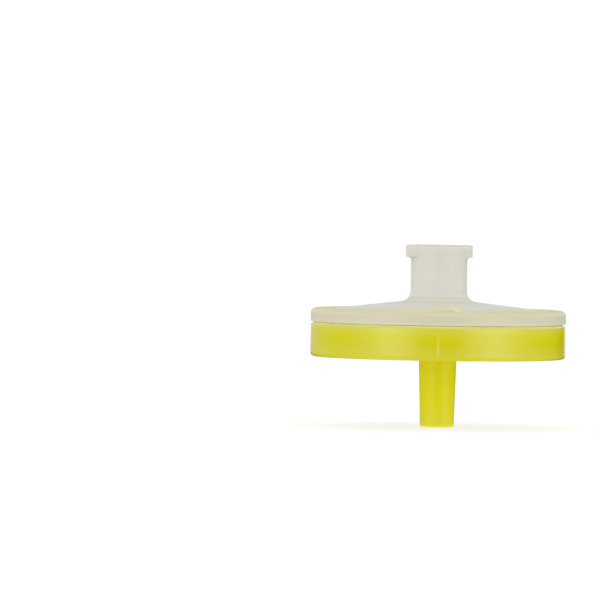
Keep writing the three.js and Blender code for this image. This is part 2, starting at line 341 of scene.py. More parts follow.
ring_section = node(ring_tree, "GeometryNodeCurvePrimitiveQuadrilateral",
                    {"Height": ring["Height"], "Bottom Width": ring["Root"],
                     "Top Width": ring["Crest"], "Offset": 0.0}, mode="TRAPEZOID")
ring_drop = node(ring_tree, "ShaderNodeMath", {0: ring["Height"], 1: -0.5},
                 operation="MULTIPLY")
ring_offset = node(ring_tree, "ShaderNodeCombineXYZ", {"Z": ring_drop.outputs[0]})
ring_solid = node(ring_tree, "GeometryNodeCurveToMesh",
                  {"Curve": ring_upright.outputs[0], "Profile Curve": ring_section.outputs[0]})
ring_hung = node(ring_tree, "GeometryNodeTransform",
                 {"Geometry": ring_solid.outputs[0], "Translation": ring_offset.outputs[0]})
ring_roll = node(ring_tree, "ShaderNodeCombineXYZ", {"X": ring["Turned Over"]})
ring_lift = node(ring_tree, "ShaderNodeCombineXYZ", {"Z": ring["Level"]})
ring_placed = node(ring_tree, "GeometryNodeTransform",
                   {"Geometry": ring_hung.outputs[0], "Translation": ring_lift.outputs[0],
                    "Rotation": ring_roll.outputs[0]})
ring_real = node(ring_tree, "GeometryNodeRealizeInstances", {0: ring_placed.outputs[0]})
ring_dressed = node(ring_tree, "GeometryNodeSetMaterial",
                    {"Geometry": ring_real.outputs[0], "Material": ring["Material"]})
node(ring_tree, "NodeGroupOutput", {0: ring_dressed.outputs[0]})

YELLOW_OVER_PLATE = "#F6F634"  # inside, where the membrane and the seat lie
YELLOW_CLOUD = 5.0  # size of the faint drift in the colour
DRIFT = 0.025  # of the colour, each way
MOULD_GRAIN, GRAIN_DEPTH = 0.3, 0.004  # left by a finely polished mould

# Polypropylene with a clear yellow pigment, from a finely polished mould: saturated
# where it is thick, painted paler where the wall is thin for the light through it, with a soft
# sheen.
yellow_polypropylene = bpy.data.materials.new("yellow_polypropylene")
yellow_polypropylene.use_nodes = True
yellow = yellow_polypropylene.node_tree
yellow_surface = yellow.nodes["Principled BSDF"]
yellow_surface.inputs["IOR"].default_value = 1.49
yellow_surface.inputs["Subsurface Weight"].default_value = 0.8
yellow_surface.inputs["Subsurface Radius"].default_value = (1.0, 0.9, 0.15)
yellow_surface.inputs["Subsurface Scale"].default_value = 0.8 * MM
yellow_place = node(yellow, "ShaderNodeTexCoord").outputs["Object"]
yellow_parts = node(yellow, "ShaderNodeSeparateXYZ", {0: yellow_place})
yellow_share = node(yellow, "ShaderNodeMapRange",
                    {0: yellow_parts.outputs["Z"], 1: tip_level * MM, 2: joint_level * MM})
yellow_depth = node(yellow, "ShaderNodeValToRGB", {0: yellow_share.outputs[0]})
# From the tip up: the spigot, painted lighter against the rim's shade over it and bluer at the
# tip for a painted reflection of the floor; the skirt with its thin foot, painted paler for the
# light through the thin wall; the solid band above the hollow; and the lip, painted pale for
# the light through the milky flange that fills the joint and for a painted reflection on its
# slope
YELLOW_STOPS_AND_PAINTED_LIGHT = {
    # The spigot: painted lighter for the rim's shade over it, with a painted floor reflection
    # at the tip
    tip_level: "#E6E03A",
    tip_level + 2.5: "#EAE41B",
    SKIRT_FOOT - 0.2: "#F0E700",
    # The skirt's thin foot: painted paler for the light through the thin wall
    SKIRT_FOOT: "#D4CE30",
    HOLLOW_ROOF - 0.45: "#D2CE2E",
    HOLLOW_ROOF - 0.15: "#D2CD0A",
    HOLLOW_ROOF + 0.5: "#D3CE00",
    # The lip: painted paler upwards, for light that fills the joint and a painted reflection on
    # its slope
    joint_level - 1.2: "#D4D00E",
    joint_level - 0.8: "#D5D233",
    joint_level - 0.45: "#D3CF50",
    joint_level - 0.3: "#CCC862",
    joint_level - 0.2: "#DDD994",
    joint_level - 0.15: "#F2EEBA",
    joint_level - 0.1: "#FFFDDA",
    joint_level: "#FFFEE4",
}
spread(yellow_depth.color_ramp,
       {level: linear(colour) for level, colour in YELLOW_STOPS_AND_PAINTED_LIGHT.items()},
       tip_level, joint_level)
yellow_flat_place = node(yellow, "ShaderNodeCombineXYZ",
                         {"X": yellow_parts.outputs["X"], "Y": yellow_parts.outputs["Y"]})
yellow_radius = node(yellow, "ShaderNodeVectorMath", {0: yellow_flat_place.outputs[0]},
                     operation="LENGTH").outputs["Value"]
yellow_solid = node(yellow, "ShaderNodeMapRange",
                    {0: yellow_radius, 1: (GROOVE_RADIUS - 0.15) * MM,
                     2: (GROOVE_RADIUS + 0.05) * MM, 3: 1.0, 4: 0.0})
yellow_above = node(yellow, "ShaderNodeMath",
                    {0: yellow_parts.outputs["Z"], 1: (DRAIN_FLOOR - 0.2) * MM},
                    operation="GREATER_THAN")
yellow_inner = node(yellow, "ShaderNodeMath",
                    {0: yellow_solid.outputs[0], 1: yellow_above.outputs[0]},
                    operation="MULTIPLY")
yellow_tint = node(yellow, "ShaderNodeMix",
                   {"Factor": yellow_inner.outputs[0], "A": yellow_depth.outputs[0],
                    "B": linear(YELLOW_OVER_PLATE)}, data_type="RGBA")
yellow_cloud = node(yellow, "ShaderNodeTexNoise",
                    {"Vector": yellow_place, "Scale": 1 / (YELLOW_CLOUD * MM), "Detail": 2.0})
yellow_tone = node(yellow, "ShaderNodeMapRange",
                   {0: yellow_cloud.outputs[0], 3: 1 - DRIFT, 4: 1 + DRIFT})
yellow_mixed = node(yellow, "ShaderNodeVectorMath",
                    {0: yellow_tint.outputs["Result"], 3: yellow_tone.outputs[0]},
                    operation="SCALE")
yellow.links.new(yellow_mixed.outputs[0], yellow_surface.inputs["Base Color"])
yellow_polish = node(yellow, "ShaderNodeMapRange",
                     {0: yellow_cloud.outputs[0], 3: 0.13, 4: 0.17})
yellow.links.new(yellow_polish.outputs[0], yellow_surface.inputs["Roughness"])
yellow_grain = node(yellow, "ShaderNodeTexNoise",
                    {"Vector": yellow_place, "Scale": 1 / (MOULD_GRAIN * MM), "Detail": 3.0})
yellow_bump = node(yellow, "ShaderNodeBump",
                   {"Height": yellow_grain.outputs[0], "Strength": 0.5,
                    "Distance": GRAIN_DEPTH * MM})
yellow.links.new(yellow_bump.outputs[0], yellow_surface.inputs["Normal"])

outlet = shown("outlet_half", turned([
    [BORE_RADIUS, tip_level, MOULDED_EDGE],
    [TIP_RADIUS, tip_level, TIP_ROUND],
    [TIP_RADIUS + LUER_TAPER * (HOLLOW_ROOF - tip_level), HOLLOW_ROOF, SPIGOT_ROOT_ROUND],
    [SKIRT_INNER_RADIUS, HOLLOW_ROOF, HOLLOW_ROUND],
    [SKIRT_INNER_RADIUS, SKIRT_FOOT, MOULDED_EDGE],
    [housing_radius, SKIRT_FOOT, RIM_FOOT_ROUND],
    [LIP_RADIUS, LIP_LEVEL, LIP_ROUND],
    [GROOVE_RADIUS, joint_level],
    [SEAT_RADIUS, joint_level, MOULDED_EDGE / 2],
    [SEAT_RADIUS, SEAT_LEVEL],
    [CHAMBER_RADIUS, SEAT_LEVEL, MOULDED_EDGE],
    [CHAMBER_RADIUS, DRAIN_FLOOR, MOULDED_EDGE],
    [BORE_RADIUS, DRAIN_FLOOR, MOULDED_EDGE],
]))
# Eight ribs stiffen the plate from below
combine(outlet, "UNION", grown(spoke_tree, {
    "Count": 8, "Turn": 0.0, "Inner": (TIP_RADIUS + 0.1) * MM,
    "Outer": (SKIRT_INNER_RADIUS + SINK) * MM, "Width": 0.9 * MM,
    "Bottom": (SKIRT_FOOT + 0.3) * MM, "Top": (HOLLOW_ROOF + 3 * SINK) * MM,
    "Rounding": 0.15 * MM, "Material": yellow_polypropylene,
}))
# Seven rings hold the membrane up, and eight channels through them drain to the bore
supports = grown(ring_tree, {
    "Count": 7, "First Radius": 2.3 * MM, "Pitch": 1.2 * MM, "Root": 0.64 * MM,
    "Crest": 0.35 * MM, "Height": (0.6 + SINK) * MM, "Level": (DRAIN_FLOOR - SINK) * MM,
    "Turned Over": math.pi, "Material": yellow_polypropylene,
})
combine(supports, "DIFFERENCE", grown(spoke_tree, {
    "Count": CHANNEL_COUNT, "Turn": math.radians(CHANNEL_TURN), "Inner": SINK * MM,
    "Outer": CHAMBER_RADIUS * MM, "Width": 1.3 * MM, "Bottom": (DRAIN_FLOOR - 3 * SINK) * MM,
    "Top": (SEAT_LEVEL + SINK) * MM, "Rounding": 0.05 * MM,
    "Material": yellow_polypropylene,
}))
combine(outlet, "UNION", supports)
# The mould halves' mark is just as deep all along the rim's slight taper
line_mesh = bpy.data.meshes.new("parting line")
line_mesh.from_pydata([
    ((x + LINE_ASIDE) * MM, ((z - SKIRT_FOOT) * RIM_TAPER - housing_radius - out) * MM, z * MM)
    for z in LINE_ENDS
    for x, out in ((0, -LINE_DEPTH), (LINE_SPREAD, LINE_RISE), (-LINE_SPREAD, LINE_RISE))
], [], [(0, 1, 2), (3, 5, 4), (0, 3, 4, 1), (1, 4, 5, 2), (2, 5, 3, 0)])
combine(outlet, "DIFFERENCE", shown("parting line", line_mesh))
smooth(outlet, yellow_polypropylene)
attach(outlet, "root")
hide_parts("outlet_housing")

# ---------------------------------------------------------------- membrane
# A disc of white cast nylon film with fine open pores. It lies on the outlet half's
# rings, and the two halves pinch it round its edge.

membrane_low, membrane_high = (Vector(corner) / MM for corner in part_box("filter_membrane"))

FILM_GAP = 0.01  # so that no two faces lie in one plane
FILM_EDGE = 0.03  # rounding of its cut edge
PORE_PITCH, PORE_DEPTH = 0.25, 0.02
PORE_COLOUR, FILM_COLOUR = "#F8F6EE", "#FFFFFA"
PINCHED_COLOUR = "#E9E7B4"  # pressed thin against the yellow seat

# Cast nylon membrane: chalky, dead matt, with pores far too fine to see. They are drawn
# a quarter of a millimetre apart so that they show at all.
cast_nylon = bpy.data.materials.new("cast_nylon_membrane")
cast_nylon.use_nodes = True
nylon = cast_nylon.node_tree
nylon_surface = nylon.nodes["Principled BSDF"]
nylon_surface.inputs["Roughness"].default_value = 0.85
nylon_surface.inputs["Diffuse Roughness"].default_value = 0.4
nylon_surface.inputs["IOR"].default_value = 1.53
nylon_place = node(nylon, "ShaderNodeTexCoord").outputs["Object"]
nylon_pores = node(nylon, "ShaderNodeTexVoronoi",
                   {"Vector": nylon_place, "Scale": 1 / (PORE_PITCH * MM)})
nylon_colour = node(nylon, "ShaderNodeValToRGB", {0: nylon_pores.outputs["Distance"]})
spread(nylon_colour.color_ramp, {0.0: linear(PORE_COLOUR), 0.4: linear(FILM_COLOUR)},
       0.0, 1.0)
nylon_parts = node(nylon, "ShaderNodeSeparateXYZ", {0: nylon_place})
nylon_flat_place = node(nylon, "ShaderNodeCombineXYZ",
                        {"X": nylon_parts.outputs["X"], "Y": nylon_parts.outputs["Y"]})
nylon_radius = node(nylon, "ShaderNodeVectorMath", {0: nylon_flat_place.outputs[0]},
                    operation="LENGTH")
nylon_pinched = node(nylon, "ShaderNodeMapRange",
                     {0: nylon_radius.outputs["Value"], 1: (CHAMBER_RADIUS - 0.2) * MM,
                      2: (CHAMBER_RADIUS + 0.1) * MM, 3: 0.0, 4: 1.0})
nylon_base = node(nylon, "ShaderNodeMix",
                  {"Factor": nylon_pinched.outputs[0], "A": nylon_colour.outputs[0],
                   "B": linear(PINCHED_COLOUR)}, data_type="RGBA")
nylon.links.new(nylon_base.outputs["Result"], nylon_surface.inputs["Base Color"])
nylon_bump = node(nylon, "ShaderNodeBump",
                  {"Height": nylon_pores.outputs["Distance"], "Strength": 0.6,
                   "Distance": PORE_DEPTH * MM})
nylon.links.new(nylon_bump.outputs[0], nylon_surface.inputs["Normal"])

membrane = shown("membrane", turned([
    [0.0, membrane_low.z + FILM_GAP],
    [membrane_high.x, membrane_low.z + FILM_GAP, FILM_EDGE],
    [membrane_high.x, membrane_high.z - FILM_GAP, FILM_EDGE],
    [0.0, membrane_high.z - FILM_GAP],
]))
smooth(membrane, cast_nylon)
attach(membrane, "root")
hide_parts("filter_membrane")

# ---------------------------------------------------------------- natural inlet half
# The upper half, injection moulded in untinted polypropylene and welded to the lower
# one inside the rim. It has the female Luer lock with two lugs, a shallow cone down to
# the flange, fine rings over the membrane, and the mark of the gate on its flange.

inlet_low, inlet_high = (Vector(corner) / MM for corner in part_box("inlet_housing"))
inlet_end = inlet_high.z

FLANGE_FACE = inlet_low.z + FILM_GAP
FLANGE_TOP = inlet_low.z + 1.6
CONE_FOOT_RADIUS = housing_radius - 3.1
CONE_SLOPE = math.tan(math.radians(6.9))
NECK_RADIUS = 3.32
CONE_TOP = FLANGE_TOP + (CONE_FOOT_RADIUS - NECK_RADIUS) * CONE_SLOPE
SOCKET_MOUTH_RADIUS, SOCKET_DEPTH = 2.15, 6.04
THROAT_RADIUS = 1.53
CHAMBER_ROOF = inlet_low.z + 0.45
FLANGE_FOOT_ROUND, FLANGE_ROUND, NECK_FOOT_ROUND = 0.14, 0.6, 1.2
MOUTH_ROUND, SOCKET_MOUTH_ROUND = 0.1, 0.12  # outside and inside
LUG_RADIUS, LUG_HEIGHT, LUG_SLOPE = 3.93, 1.4, 0.15
LUG_ROUND, LUG_SET_DOWN = 0.12, 0.02
LUG_ARC, LUG_TURN, LUG_RUN_OUT = 104.0, 4.5, 48.0  # degrees
RING_COUNT, FIRST_RING, RING_PITCH = 14, 4.08, 0.49
MIDDLE_RING = FIRST_RING + (RING_COUNT - 1) / 2 * RING_PITCH
RINGS_REACH = 6.9 * RING_PITCH  # each way from the middle ring
CHANNEL_WIDTH = 1.5
CHANNEL_FLARE = 0.045  # of the half width, on each millimetre outwards
GATE_RADIUS, GATE_ANGLE = housing_radius - 2.2, math.radians(-80)
GATE_PLACE = (GATE_RADIUS * math.cos(GATE_ANGLE), GATE_RADIUS * math.sin(GATE_ANGLE))
GATE_DEPTH, GATE_WELL_RADIUS, GATE_NUB_RADIUS = 0.18, 0.6, 0.3
GATE_RING_RADIUS, GATE_RING_REACH = 0.52, 0.11  # the milky ring in the well
NATURAL_CLOUD = 4.0  # size of the faint drift in the colour
THIN_LEVELS = (CONE_TOP - 0.2, CONE_TOP + 0.2)  # over which the thin wall ends, upwards
THIN_RADII = (housing_radius - 0.55, housing_radius - 0.3)  # and outwards
SEAT_EDGE = (SEAT_RADIUS - 0.6, SEAT_RADIUS + 0.3)  # where the yellow seat shows through
# The channels' edge colour is a painted highlight
RING_LINE, CHANNEL_CREAM, CHANNEL_EDGE_HIGHLIGHT = "#D2DACE", "#FBF6D8", "#FFFFFF"
GATE_CREAM = "#FDFBE2"
# The socket's wall, painted lighter towards its foot against the shade deep inside it
SOCKET_MOUTH_COLOUR, SOCKET_FOOT_PAINTED_LIGHT = "#F3F2EA", "#FFFFF9"

# Natural polypropylene, without pigment: milky where light crosses it lengthways, as
# in the neck and round the rim, and half clear where it is one thin wall over the
# membrane or the yellow seat.
natural_polypropylene = bpy.data.materials.new("natural_polypropylene")
natural_polypropylene.use_nodes = True
natural = natural_polypropylene.node_tree
natural_surface = natural.nodes["Principled BSDF"]
natural_surface.inputs["IOR"].default_value = 1.49
natural_surface.inputs["Subsurface Weight"].default_value = 0.9
natural_surface.inputs["Subsurface Radius"].default_value = (1.0, 0.97, 0.9)
natural_surface.inputs["Subsurface Scale"].default_value = 1.1 * MM
natural_place = node(natural, "ShaderNodeTexCoord").outputs["Object"]
natural_parts = node(natural, "ShaderNodeSeparateXYZ", {0: natural_place})
natural_share = node(natural, "ShaderNodeMapRange",
                     {0: natural_parts.outputs["Z"], 1: inlet_low.z * MM, 2: inlet_end * MM})
natural_depth = node(natural, "ShaderNodeValToRGB", {0: natural_share.outputs[0]})
# From the joint up: the flange's foot, painted as pale as the lip under it for the light
# that fills the joint; its wall and top edge, painted yellowish for the rim's yellow light
# that comes through; then the neck, painted lightest low down round the socket's foot
# against the shade where it meets the cone; and the mouth, with a painted shade line on
# its rounded edge
NATURAL_STOPS_AND_PAINTED_LIGHT = {
    # The flange's foot: painted pale for the light that fills the joint
    inlet_low.z: "#FFFDE6",
    inlet_low.z + 0.02: "#FFFDE6",
    # The flange's wall and top edge: painted yellowish for the rim's yellow light through it
    inlet_low.z + 0.04: "#DAD7BE",
    inlet_low.z + 0.12: "#D2CEB5",
    FLANGE_TOP - 0.7: "#D1CDB5",
    FLANGE_TOP - 0.35: "#CECAB1",
    FLANGE_TOP - 0.18: "#C9C6A0",
    FLANGE_TOP - 0.06: "#C7C492",
    FLANGE_TOP + 0.03: "#D8D6C2",
    CONE_TOP - 0.05: "#D0CEBE",
    # From the neck's foot up: painted lighter against the shade where neck and cone meet
    CONE_TOP + 0.12: "#DAD8C9",
    CONE_TOP + 0.4: "#D7D5C9",
    inlet_end - SOCKET_DEPTH - 0.1: "#E2E0D7",
    inlet_end - SOCKET_DEPTH + 0.1: "#E5E3DD",
    CONE_TOP + 1.8: "#E2E0DB",
    inlet_end - 0.2: "#D7D5CF",
    # The mouth's rounded edge: a painted shade line
    inlet_end - 0.12: "#CAC7BB",
    inlet_end - 0.06: "#B2AFA2",
    inlet_end - 0.02: "#A8A598",
    inlet_end - 0.01: "#D1CEBE",
}
spread(natural_depth.color_ramp,
       {level: linear(colour) for level, colour in NATURAL_STOPS_AND_PAINTED_LIGHT.items()},
       inlet_low.z, inlet_end)
natural_cloud = node(natural, "ShaderNodeTexNoise",
                     {"Vector": natural_place, "Scale": 1 / (NATURAL_CLOUD * MM),
                      "Detail": 2.0})
natural_tone = node(natural, "ShaderNodeMapRange",
                    {0: natural_cloud.outputs[0], 3: 1 - DRIFT, 4: 1 + DRIFT})
natural_mixed = node(natural, "ShaderNodeVectorMath",
                     {0: natural_depth.outputs[0], 3: natural_tone.outputs[0]},
                     operation="SCALE")
natural_flat_place = node(natural, "ShaderNodeCombineXYZ",
                          {"X": natural_parts.outputs["X"], "Y": natural_parts.outputs["Y"]})
natural_radius = node(natural, "ShaderNodeVectorMath", {0: natural_flat_place.outputs[0]},
                      operation="LENGTH").outputs["Value"]
natural_web = node(natural, "ShaderNodeMapRange",
                   {0: natural_parts.outputs["Z"], 1: THIN_LEVELS[0] * MM,
                    2: THIN_LEVELS[1] * MM, 3: 1.0, 4: 0.0})
natural_inside = node(natural, "ShaderNodeMapRange",
                      {0: natural_radius, 1: THIN_RADII[0] * MM, 2: THIN_RADII[1] * MM,
                       3: 1.0, 4: 0.0})
natural_thin = node(natural, "ShaderNodeMath",
                    {0: natural_web.outputs[0], 1: natural_inside.outputs[0]},
                    operation="MULTIPLY")
# Over the membrane the rings show through as fine lines, and the channels between
# their eight groups as plain bands with painted highlights along their edges.
natural_angle = node(natural, "ShaderNodeMath",
                     {0: natural_parts.outputs["Y"], 1: natural_parts.outputs["X"]},
                     operation="ARCTAN2")
natural_turned = node(natural, "ShaderNodeMath",
                      {0: natural_angle.outputs[0], 1: math.radians(CHANNEL_TURN)},
                      operation="SUBTRACT")
natural_aside = node(natural, "ShaderNodeMath",
                     {0: natural_turned.outputs[0], 1: math.pi / CHANNEL_COUNT,
                      2: -math.pi / CHANNEL_COUNT}, operation="WRAP")
natural_sine = node(natural, "ShaderNodeMath", {0: natural_aside.outputs[0]}, operation="SINE")
natural_across = node(natural, "ShaderNodeMath",
                      {0: natural_sine.outputs[0], 1: natural_radius}, operation="MULTIPLY")
natural_distance = node(natural, "ShaderNodeMath", {0: natural_across.outputs[0]},
                        operation="ABSOLUTE")
natural_flared = node(natural, "ShaderNodeMath",
                      {0: natural_radius, 1: -CHANNEL_FLARE, 2: natural_distance.outputs[0]},
                      operation="MULTIPLY_ADD")
natural_beside = node(natural, "ShaderNodeMapRange",
                      {0: natural_flared.outputs[0],
                       1: (CHANNEL_WIDTH / 2 - CHANNEL_FLARE * MIDDLE_RING) * MM,
                       2: (CHANNEL_WIDTH / 2 - CHANNEL_FLARE * MIDDLE_RING + 0.15) * MM})
natural_ringed = node(natural, "ShaderNodeMath",
                      {0: natural_radius, 1: MIDDLE_RING * MM, 2: RINGS_REACH * MM},
                      operation="COMPARE")
natural_phase = node(natural, "ShaderNodeMath",
                     {0: natural_radius, 1: math.tau / (RING_PITCH * MM),
                      2: -math.tau * FIRST_RING / RING_PITCH}, operation="MULTIPLY_ADD")
natural_wave = node(natural, "ShaderNodeMath", {0: natural_phase.outputs[0]},
                    operation="COSINE")
natural_fade = node(natural, "ShaderNodeMapRange",
                    {0: natural_cloud.outputs[0], 1: 0.35, 2: 0.65, 3: 0.15, 4: 0.75})
natural_line = node(natural, "ShaderNodeMapRange",
                    {0: natural_wave.outputs[0], 1: 0.0, 3: 0.0, 4: natural_fade.outputs[0]})
natural_group = node(natural, "ShaderNodeMath",
                     {0: natural_beside.outputs[0], 1: natural_ringed.outputs[0]},
                     operation="MULTIPLY")
natural_drawn = node(natural, "ShaderNodeMath",
                     {0: natural_line.outputs[0], 1: natural_group.outputs[0]},
                     operation="MULTIPLY")
natural_web_share = node(natural, "ShaderNodeMapRange",
                         {0: natural_radius, 1: 0.0, 2: housing_radius * MM})
natural_web_colour = node(natural, "ShaderNodeValToRGB", {0: natural_web_share.outputs[0]})
# From the axis out: cream over the membrane, and yellow over the seat
WEB_STOPS = {
    0.0: "#FFFEF6",
    5.5: "#FEFAE6",
    CHAMBER_RADIUS - 0.2: "#FCF6D4",
    CHAMBER_RADIUS + 0.2: "#F4F0CE",
    SEAT_EDGE[0]: "#F4F0C8",
    SEAT_EDGE[1]: "#FCF36C",
    housing_radius - 1.05: "#FCF36C",
    THIN_RADII[1]: "#FCF490",
}
spread(natural_web_colour.color_ramp,
       {radius: linear(colour) for radius, colour in WEB_STOPS.items()}, 0.0, housing_radius)
natural_lined = node(natural, "ShaderNodeMix",
                     {"Factor": natural_drawn.outputs[0], "A": natural_web_colour.outputs[0],
                      "B": linear(RING_LINE)}, data_type="RGBA")
natural_within = node(natural, "ShaderNodeMath", {0: 1.0, 1: natural_beside.outputs[0]},
                      operation="SUBTRACT")
natural_channel = node(natural, "ShaderNodeMath",
                       {0: natural_within.outputs[0], 1: natural_ringed.outputs[0]},
                       operation="MULTIPLY")
natural_cream = node(natural, "ShaderNodeMix",
                     {"Factor": natural_channel.outputs[0],
                      "A": natural_lined.outputs["Result"],
                      "B": linear(CHANNEL_CREAM)}, data_type="RGBA")
# Painted highlights along the channels' edges, beaded by the rings
natural_highlight_edge = node(natural, "ShaderNodeMath",
                    {0: natural_channel.outputs[0], 1: natural_beside.outputs[0]},
                    operation="MULTIPLY")
natural_highlight_bead = node(natural, "ShaderNodeMapRange",
                    {0: natural_wave.outputs[0], 1: -1.0, 3: 1.0, 4: 0.5})
natural_beaded_highlight = node(natural, "ShaderNodeMath",
                      {0: natural_highlight_edge.outputs[0], 1: natural_highlight_bead.outputs[0]},
                      operation="MULTIPLY")
natural_highlight_share = node(natural, "ShaderNodeMapRange",
                          {0: natural_beaded_highlight.outputs[0], 2: 0.25, 3: 0.0, 4: 0.6})
natural_highlighted = node(natural, "ShaderNodeMix",
                   {"Factor": natural_highlight_share.outputs[0],
                    "A": natural_cream.outputs["Result"],
                    "B": linear(CHANNEL_EDGE_HIGHLIGHT)}, data_type="RGBA")
# The gate mark: a milky ring in its well, round a clear middle
natural_gate = node(natural, "ShaderNodeVectorMath",
                    {0: natural_flat_place.outputs[0],
                     1: (GATE_PLACE[0] * MM, GATE_PLACE[1] * MM, 0)}, operation="DISTANCE")
natural_gate_ring = node(natural, "ShaderNodeMath",
                         {0: natural_gate.outputs["Value"], 1: GATE_RING_RADIUS * MM,
                          2: GATE_RING_REACH * MM}, operation="COMPARE")
natural_marked = node(natural, "ShaderNodeMix",
                      {"Factor": natural_gate_ring.outputs[0],
                       "A": natural_highlighted.outputs["Result"],
                       "B": linear(GATE_CREAM)}, data_type="RGBA")
natural_outside = node(natural, "ShaderNodeMix",
                       {"Factor": natural_thin.outputs[0], "A": natural_mixed.outputs[0],
                        "B": natural_marked.outputs["Result"]}, data_type="RGBA")
# The socket's wall, painted whiter towards its foot against the shade deep in the socket
natural_socket = node(natural, "ShaderNodeMath",
                      {0: natural_radius, 1: (SOCKET_MOUTH_RADIUS + 0.02) * MM},
                      operation="LESS_THAN")
natural_deep = node(natural, "ShaderNodeMapRange",
                    {0: natural_parts.outputs["Z"], 1: (inlet_end - SOCKET_DEPTH) * MM,
                     2: inlet_end * MM, 3: 1.0, 4: 0.0})
natural_cavity = node(natural, "ShaderNodeMix",
                      {"Factor": natural_deep.outputs[0], "A": linear(SOCKET_MOUTH_COLOUR),
                       "B": linear(SOCKET_FOOT_PAINTED_LIGHT)}, data_type="RGBA")
natural_base = node(natural, "ShaderNodeMix",
                    {"Factor": natural_socket.outputs[0],
                     "A": natural_outside.outputs["Result"],
                     "B": natural_cavity.outputs["Result"]}, data_type="RGBA")
natural.links.new(natural_base.outputs["Result"], natural_surface.inputs["Base Color"])
natural_rim = node(natural, "ShaderNodeMapRange",
                   {0: natural_radius, 1: SEAT_EDGE[0] * MM, 2: SEAT_EDGE[1] * MM})
natural_polish = node(natural, "ShaderNodeMapRange",
                      {0: natural_rim.outputs[0], 3: 0.1, 4: 0.2})
natural_satin = node(natural, "ShaderNodeMapRange",
                     {0: natural_parts.outputs["Z"], 1: (CONE_TOP + 0.2) * MM,
                      2: (CONE_TOP + 1.2) * MM, 3: 0.36, 4: 0.42})
natural_rough = node(natural, "ShaderNodeMix",
                     {"Factor": natural_thin.outputs[0], "A": natural_satin.outputs[0],
                      "B": natural_polish.outputs[0]})
natural.links.new(natural_rough.outputs[0], natural_surface.inputs["Roughness"])
# Half clear, milkier at the gate mark, and fully clear on the side that faces the
# membrane, so that the light gets down to it
natural_milky = node(natural, "ShaderNodeMapRange",
                     {0: natural_rim.outputs[0], 3: 0.36, 4: 0.53})
natural_unmarked = node(natural, "ShaderNodeMapRange",
                        {0: natural_gate_ring.outputs[0], 3: 1.0, 4: 0.3})
natural_top = node(natural, "ShaderNodeMath",
                   {0: natural_milky.outputs[0], 1: natural_unmarked.outputs[0]},
                   operation="MULTIPLY")
natural_under = node(natural, "ShaderNodeMath",
                     {0: natural_parts.outputs["Z"], 1: (CHAMBER_ROOF + 0.3) * MM},
                     operation="LESS_THAN")
natural_clear = node(natural, "ShaderNodeMath",
                     {0: natural_top.outputs[0], 1: natural_under.outputs[0]},
                     operation="MAXIMUM")
natural_flat = node(natural, "ShaderNodeMath",
                    {0: natural_thin.outputs[0], 1: natural_clear.outputs[0]},
                    operation="MULTIPLY")
natural_solid = node(natural, "ShaderNodeMath", {0: 1.0, 1: natural_socket.outputs[0]},
                     operation="SUBTRACT")
natural_through = node(natural, "ShaderNodeMath",
                       {0: natural_flat.outputs[0], 1: natural_solid.outputs[0]},
                       operation="MULTIPLY")
natural.links.new(natural_through.outputs[0], natural_surface.inputs["Transmission Weight"])
natural_grain = node(natural, "ShaderNodeTexNoise",
                     {"Vector": natural_place, "Scale": 1 / (MOULD_GRAIN * MM), "Detail": 3.0})
natural_bump = node(natural, "ShaderNodeBump",
                    {"Height": natural_grain.outputs[0], "Strength": 0.5,
                     "Distance": GRAIN_DEPTH * MM})
natural.links.new(natural_bump.outputs[0], natural_surface.inputs["Normal"])

inlet = shown("inlet_half", turned([
    [housing_radius, FLANGE_FACE, FLANGE_FOOT_ROUND],
    [housing_radius, FLANGE_TOP, FLANGE_ROUND],
    [CONE_FOOT_RADIUS, FLANGE_TOP],
    [NECK_RADIUS, CONE_TOP, NECK_FOOT_ROUND],
    [NECK_RADIUS, inlet_end, MOUTH_ROUND],
    [SOCKET_MOUTH_RADIUS, inlet_end, SOCKET_MOUTH_ROUND],
    [SOCKET_MOUTH_RADIUS - LUER_TAPER * SOCKET_DEPTH, inlet_end - SOCKET_DEPTH, MOULDED_EDGE],
    [THROAT_RADIUS, inlet_end - SOCKET_DEPTH, MOULDED_EDGE],
    [THROAT_RADIUS, CHAMBER_ROOF, MOULDED_EDGE],
    [CHAMBER_RADIUS, CHAMBER_ROOF, MOULDED_EDGE],
    [CHAMBER_RADIUS, FLANGE_FACE, MOULDED_EDGE],
]))
for side in (0, 180):
    lug = shown("lug", turned([
        [NECK_RADIUS - 3 * SINK, inlet_end - LUG_HEIGHT - LUG_SLOPE],
        [NECK_RADIUS, inlet_end - LUG_HEIGHT - LUG_SLOPE],
        [LUG_RADIUS, inlet_end - LUG_HEIGHT, LUG_ROUND],
        [LUG_RADIUS, inlet_end - LUG_SET_DOWN, LUG_ROUND],
        [NECK_RADIUS - 3 * SINK, inlet_end - LUG_SET_DOWN],
    ], LUG_TURN + side - LUG_ARC / 2, LUG_ARC, STEPS // 4, run_out=LUG_RUN_OUT))
    combine(inlet, "UNION", lug)
# Fine rings under the chamber's roof, with channels that spread the flow outwards
rings = grown(ring_tree, {
    "Count": RING_COUNT, "First Radius": FIRST_RING * MM, "Pitch": RING_PITCH * MM,
    "Root": 0.44 * MM, "Crest": 0.12 * MM, "Height": (0.3 + SINK) * MM,
    "Level": (CHAMBER_ROOF + SINK) * MM, "Turned Over": 0.0,
    "Material": natural_polypropylene,
})
combine(rings, "DIFFERENCE", grown(spoke_tree, {
    "Count": CHANNEL_COUNT, "Turn": math.radians(CHANNEL_TURN), "Inner": SINK * MM,
    "Outer": CHAMBER_RADIUS * MM, "Width": CHANNEL_WIDTH * MM,
    "Bottom": (CHAMBER_ROOF - 0.4) * MM, "Top": (CHAMBER_ROOF + 0.2) * MM,
    "Rounding": 0.05 * MM, "Material": natural_polypropylene,
}))
combine(inlet, "UNION", rings)
